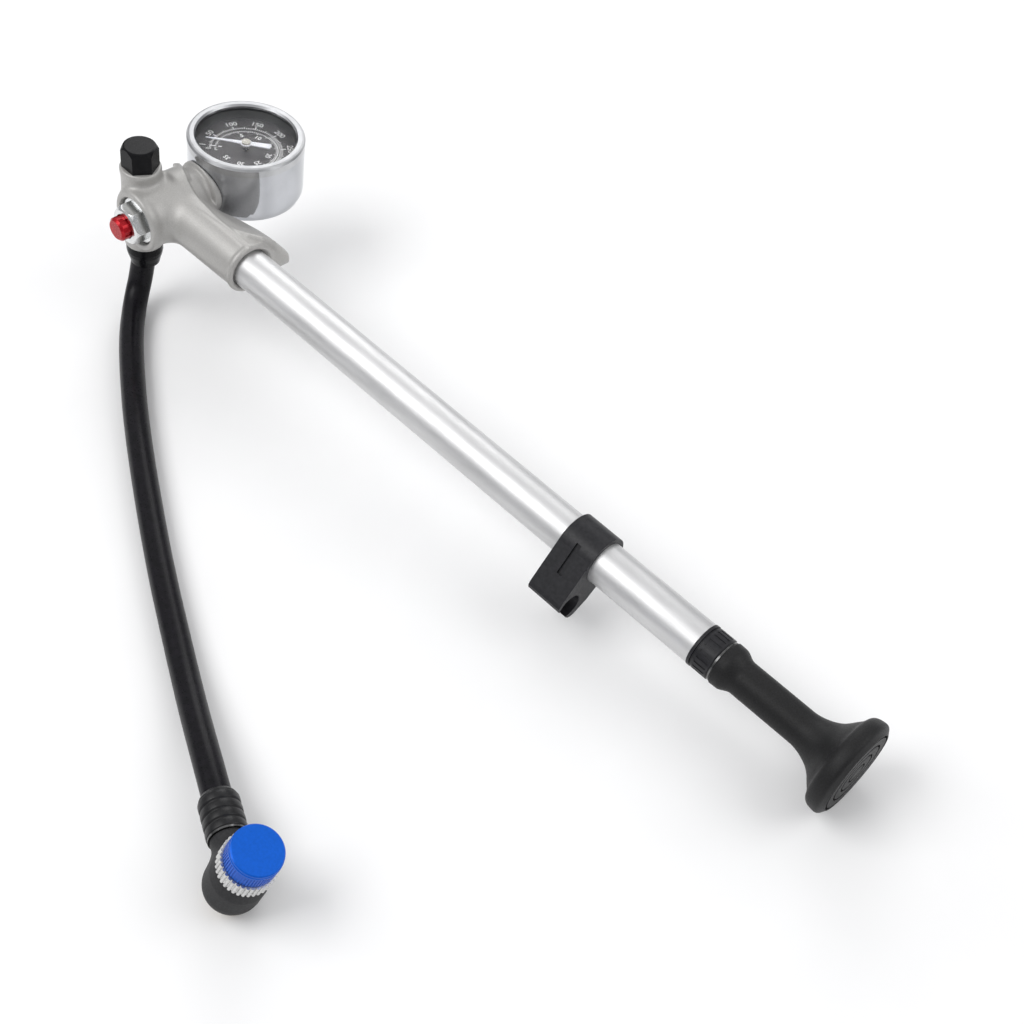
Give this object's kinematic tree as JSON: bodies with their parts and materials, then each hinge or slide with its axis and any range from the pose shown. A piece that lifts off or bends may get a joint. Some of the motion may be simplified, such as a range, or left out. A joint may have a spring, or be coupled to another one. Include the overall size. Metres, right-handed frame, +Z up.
{
  "type": "shock suspension pump",
  "caption": "Short high-pressure hand pump with a T-shaped cast head, dial gauge, bleed button, mushroom handle on a sliding rod, and a hose that ends in a screw-on chuck.",
  "frame": {"origin": "centre of the pump's box on the surface it lies on, hose and chuck left out", "axes": "+X from the head towards the handle, +Y towards the gauge's side, +Z up from the surface; the barrel slopes down by 5.4 degrees towards the handle"},
  "size_m": [0.3098, 0.1934, 0.0667],
  "materials": {
    "cast": "fine flake satin",
    "black_cap": "satin",
    "seal": "matt",
    "steel": "satin",
    "chrome": "polished",
    "red_anodised": "satin anodised",
    "brass": "satin",
    "lens": "clear",
    "dial_face": "matt",
    "white_paint": "matt",
    "aluminium": "satin",
    "black_plastic": "matt",
    "grip_rubber": "matt, fine grain",
    "hose_rubber": "smooth satin",
    "blue_anodised": "satin anodised",
    "white_plastic": "satin"
  },
  "bodies": {
    "pump": {"head_casting": "cast", "barrel_seal": "seal", "hex_cap": "black_cap", "hex_cap_seal": "seal", "check_ball": "steel", "check_spring": "steel", "bleed_washer": "chrome", "bleed_nut": "chrome", "bleed_spring": "steel", "gauge_case": "chrome", "gauge_bezel": "chrome", "gauge_lens": "lens", "gauge_dial": "dial_face", "lens_seat": "seal", "movement_frame": "brass", "bourdon_tube": "brass", "gauge_stem": "brass", "gauge_seal": "seal", "barrel_tube": "aluminium", "end_cap": "black_plastic", "rod_bush": "white_plastic", "rod_wiper": "seal", "hose_fitting": "brass", "hose_collar": "black_cap", "hose": "hose_rubber", "hose_boot": "grip_rubber", "hose_ring": "aluminium", "chuck_body": "grip_rubber"},
    "handle": {"handle_grip": "grip_rubber", "handle_core": "aluminium", "handle_ring": "aluminium", "handle_pad": "grip_rubber", "piston_rod": "steel", "piston_head": "aluminium", "piston_seal": "seal", "rod_bumper": "seal"},
    "bleed": {"bleed_button": "red_anodised", "bleed_stem": "brass", "bleed_seal": "seal"},
    "needle": {"gauge_needle": "white_paint", "needle_hub": "brass", "needle_arbor": "brass"},
    "coupler": {"chuck_collar": "aluminium", "chuck_liner": "brass", "chuck_gasket": "seal"},
    "knob": {"chuck_knob": "blue_anodised"},
    "pin": {"chuck_pin": "brass"},
    "clip": {"hose_clip": "black_plastic"}
  },
  "joints": [
    {"name": "handle_slide", "type": "slide", "parent": "pump", "child": "handle", "axis": [0.9956, 0, -0.0941], "range_m": [0, 0.18]},
    {"name": "bleed_press", "type": "slide", "parent": "pump", "child": "bleed", "axis": [-0.0092, 0.9952, -0.0972], "range_m": [0, 0.0015], "stiffness_N_per_m": 200, "springref_m": -0.001},
    {"name": "needle_turn", "type": "hinge", "parent": "pump", "child": "needle", "pos_m": [-0.13376, 0.01752, 0.05094], "axis": [0.0937, 0.0976, 0.9908], "range_deg": [-198, 12], "stiffness_Nm_per_rad": 0.00002},
    {"name": "coupler_turn", "type": "hinge", "parent": "pump", "child": "coupler", "pos_m": [0.06439, -0.14437, 0.02018], "axis": [0.3346, 0.2476, 0.9092], "continuous": true},
    {"name": "knob_turn", "type": "hinge", "parent": "pump", "child": "knob", "pos_m": [0.06606, -0.14313, 0.02473], "axis": [0.3346, 0.2476, 0.9092], "range_deg": [0, 270]},
    {"name": "pin_slide", "type": "slide", "parent": "pump", "child": "pin", "axis": [-0.3346, -0.2476, -0.9092], "range_m": [0, 0.0015]},
    {"name": "clip_slide", "type": "slide", "parent": "pump", "child": "clip", "axis": [0.9956, 0, -0.0941], "range_m": [-0.138, 0.036]}
  ],
  "couplings": [
    {"joint": "knob_turn", "follows": "pin_slide", "rad_per_m": 3141.6}
  ]
}
